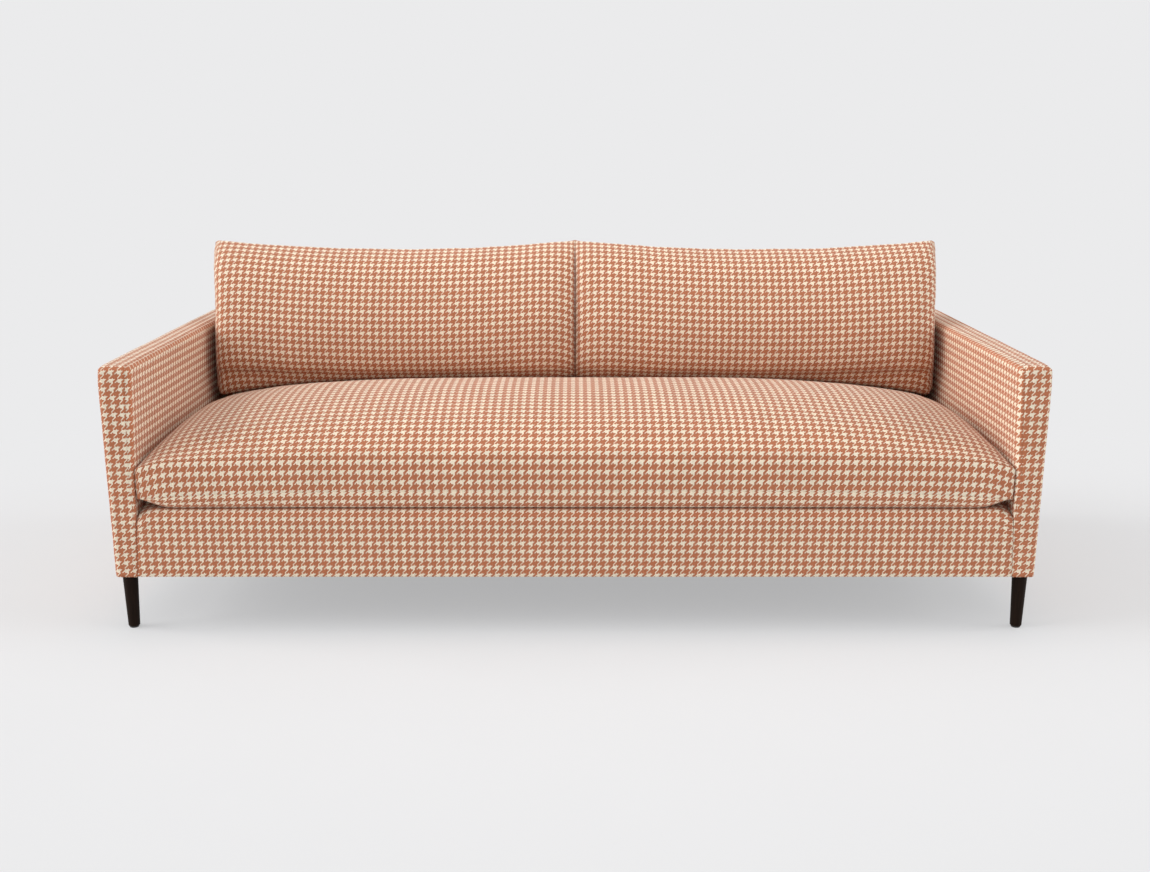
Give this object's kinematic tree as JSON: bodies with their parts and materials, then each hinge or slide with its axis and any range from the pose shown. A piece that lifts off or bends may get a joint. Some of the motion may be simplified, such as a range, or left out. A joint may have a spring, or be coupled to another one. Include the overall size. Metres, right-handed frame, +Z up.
{
  "type": "four-seater sofa",
  "caption": "Low slab-arm sofa in a houndstooth weave, with a crowned bench seat cushion, loose back cushions and tapered dark legs.",
  "frame": {"origin": "on the floor, under the middle of the sofa's bounding box", "axes": "+X along the sofa's width, to the right as seen from the front; +Y from the front towards the back; +Z up"},
  "size_m": [2.1798, 0.99, 0.86],
  "materials": {
    "houndstooth_fabric": "matte",
    "deck_lining": "matte",
    "dust_cloth": "matte",
    "foam": "matte",
    "fibre_filling": "matte",
    "felt": "matte",
    "webbing": "matte",
    "hardboard": "matte",
    "frame_wood": "matte",
    "leg_wood": "satin",
    "spring_steel": "satin",
    "zinc_steel": "satin",
    "glide_nylon": "matte",
    "zip_tape": "matte",
    "zip_metal": "satin"
  },
  "bodies": {
    "frame": {"arm_cover_left": "houndstooth_fabric", "arm_padding_left": "foam", "arm_inner_panel_left": "hardboard", "arm_outer_panel_left": "hardboard", "arm_front_post_left": "frame_wood", "arm_rear_post_left": "frame_wood", "arm_top_rail_left": "frame_wood", "arm_bottom_rail_left": "frame_wood", "arm_cover_right": "houndstooth_fabric", "arm_padding_right": "foam", "arm_inner_panel_right": "hardboard", "arm_outer_panel_right": "hardboard", "arm_front_post_right": "frame_wood", "arm_rear_post_right": "frame_wood", "arm_top_rail_right": "frame_wood", "arm_bottom_rail_right": "frame_wood", "seat_front_rail": "frame_wood", "seat_rear_rail": "frame_wood", "seat_side_rail_left": "frame_wood", "seat_side_rail_right": "frame_wood", "seat_cross_rail_left": "frame_wood", "seat_cross_rail_right": "frame_wood", "corner_blocks": "frame_wood", "seat_springs": "spring_steel", "spring_clips": "spring_steel", "deck_pad": "felt", "deck_cover": "deck_lining", "front_border_cover": "houndstooth_fabric", "front_border_padding": "foam", "back_post_left": "frame_wood", "back_post_middle": "frame_wood", "back_post_right": "frame_wood", "back_top_rail": "frame_wood", "back_webbing": "webbing", "inside_back_padding": "foam", "inside_back_cover": "houndstooth_fabric", "outside_back_cover": "houndstooth_fabric", "dust_cover": "dust_cloth", "leg_front_left": "leg_wood", "leg_front_right": "leg_wood", "leg_rear_left": "leg_wood", "leg_rear_right": "leg_wood", "leg_glides": "glide_nylon", "leg_bolts": "zinc_steel", "arm_bolts": "zinc_steel", "threaded_inserts": "zinc_steel"},
    "seat_cushion": {"seat_cushion_cover": "houndstooth_fabric", "seat_cushion_wrap": "fibre_filling", "seat_cushion_core": "foam", "seat_cushion_zip": "zip_tape"},
    "seat_zip_slider": {"seat_cushion_zip_slider": "zip_metal"},
    "back_cushion_left": {"back_cushion_left_cover": "houndstooth_fabric", "back_cushion_left_filling": "fibre_filling", "back_cushion_left_zip": "zip_tape"},
    "back_zip_slider_left": {"back_cushion_left_zip_slider": "zip_metal"},
    "back_cushion_right": {"back_cushion_right_cover": "houndstooth_fabric", "back_cushion_right_filling": "fibre_filling", "back_cushion_right_zip": "zip_tape"},
    "back_zip_slider_right": {"back_cushion_right_zip_slider": "zip_metal"}
  },
  "joints": [
    {"name": "seat_cushion_draw_out", "type": "slide", "parent": "frame", "child": "seat_cushion", "axis": [0, -1, 0], "range_m": [0, 0.82]},
    {"name": "back_cushion_left_lift", "type": "slide", "parent": "frame", "child": "back_cushion_left", "axis": [0, 0, 1], "range_m": [0, 0.44]},
    {"name": "back_cushion_right_lift", "type": "slide", "parent": "frame", "child": "back_cushion_right", "axis": [0, 0, 1], "range_m": [0, 0.44]},
    {"name": "seat_zip_slide", "type": "slide", "parent": "seat_cushion", "child": "seat_zip_slider", "axis": [-1, 0, 0], "range_m": [0, 1.16]},
    {"name": "back_zip_slide_left", "type": "slide", "parent": "back_cushion_left", "child": "back_zip_slider_left", "axis": [-1, 0, 0], "range_m": [0, 0.6]},
    {"name": "back_zip_slide_right", "type": "slide", "parent": "back_cushion_right", "child": "back_zip_slider_right", "axis": [-1, 0, 0], "range_m": [0, 0.6]}
  ]
}
